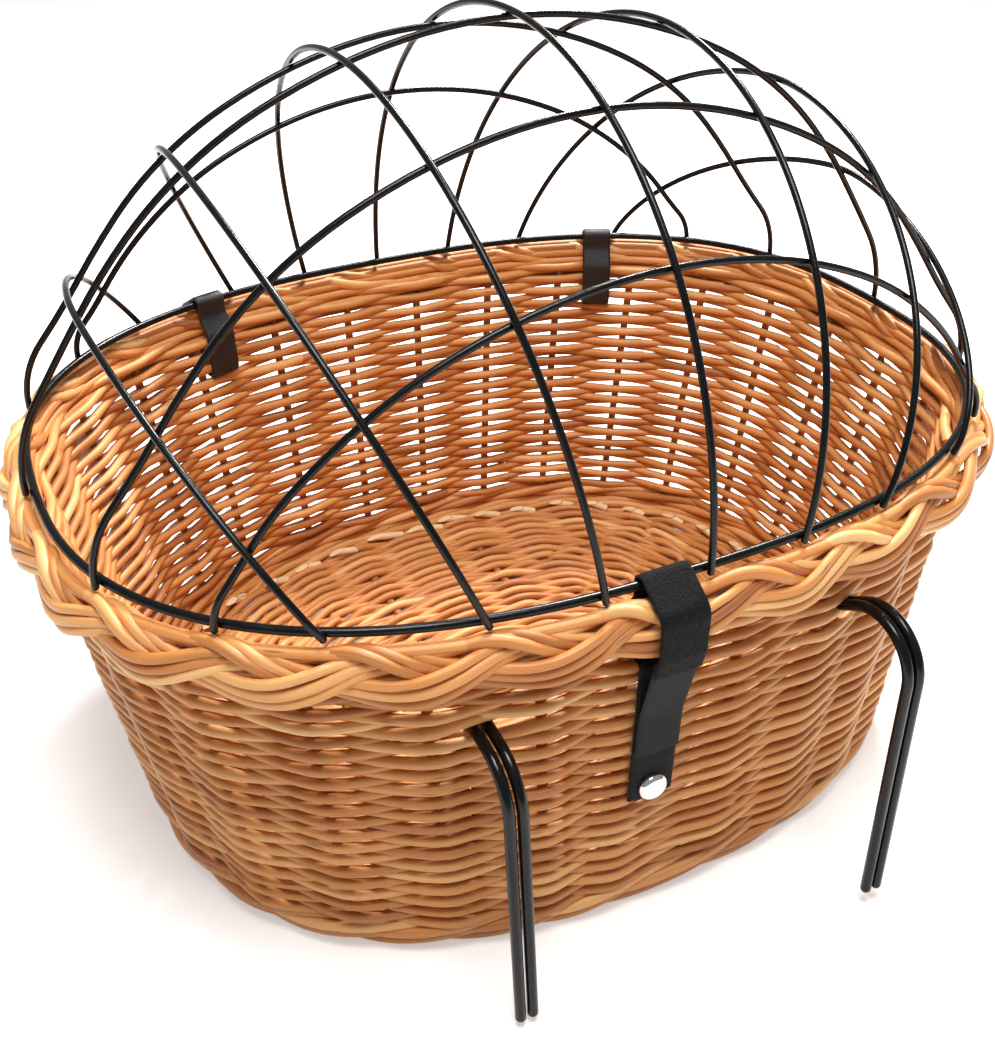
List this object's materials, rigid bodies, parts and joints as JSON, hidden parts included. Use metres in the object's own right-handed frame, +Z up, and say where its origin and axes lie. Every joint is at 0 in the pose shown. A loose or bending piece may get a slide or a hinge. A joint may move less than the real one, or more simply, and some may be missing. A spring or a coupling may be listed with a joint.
{
  "type": "dog bicycle basket",
  "caption": "Oval wicker handlebar basket for a small dog, with two wire hooks at the front and a hinged domed wire lid held by a band.",
  "frame": {"origin": "middle of the basket's footprint, at the height of the surface that it stands on", "axes": "+Z up; X along the basket; -Y is the front, with the handlebar hooks and the closing band"},
  "size_m": [0.5244, 0.4439, 0.398],
  "materials": {
    "willow": "buff willow, satin",
    "willow_base": "buff willow, satin",
    "willow_stake": "buff willow, satin",
    "coated_wire": "black gloss powder coat",
    "coated_rod": "black gloss coat",
    "hook_loop_tape": "fuzzy loop tape",
    "hook_tape": "smooth woven tape",
    "chrome": "polished",
    "black_leather": "matt",
    "buckle_steel": "nickel plated"
  },
  "bodies": {
    "basket": {"foot_wale": "willow", "base_weave": "willow_base", "side_weave": "willow", "border_braid": "willow", "base_sticks": "willow_stake", "side_stakes": "willow_stake", "hook_left_outer_rod": "coated_rod", "hook_left_inner_rod": "coated_rod", "hook_right_outer_rod": "coated_rod", "hook_right_inner_rod": "coated_rod", "hook_left_bars": "coated_rod", "hook_right_bars": "coated_rod", "closing_band": "hook_loop_tape", "rivet_cap": "chrome", "rivet_post": "chrome", "rivet_washer": "chrome", "rear_strap_left": "black_leather", "rear_strap_right": "black_leather", "buckle_left": "buckle_steel", "buckle_right": "buckle_steel", "buckle_prong_left": "buckle_steel", "buckle_prong_right": "buckle_steel"},
    "band_flap": {"closing_flap": "hook_loop_tape", "flap_tab": "hook_tape"},
    "lid": {"cage_ring": "coated_wire", "cross_hoop_1": "coated_wire", "cross_hoop_2": "coated_wire", "cross_hoop_3": "coated_wire", "cross_hoop_4": "coated_wire", "cross_hoop_5": "coated_wire", "cross_hoop_6": "coated_wire", "cross_hoop_7": "coated_wire", "long_hoop_1": "coated_wire", "long_hoop_2": "coated_wire", "long_hoop_3": "coated_wire", "long_hoop_4": "coated_wire", "long_hoop_5": "coated_wire"}
  },
  "joints": [
    {"name": "lid_hinge", "type": "hinge", "parent": "basket", "child": "lid", "pos_m": [0, 0.194, 0.2084], "axis": [-1, 0, 0], "range_deg": [0, 100], "deforming": ["rear_strap_left", "rear_strap_right"]},
    {"name": "flap_fold", "type": "hinge", "parent": "basket", "child": "band_flap", "pos_m": [-0.0205, -0.18325, 0.2014], "axis": [-1, 0, 0], "range_deg": [0, 110]}
  ],
  "couplings": [
    {"joint": "flap_fold", "follows": "lid_hinge", "ratio": 1.1}
  ]
}
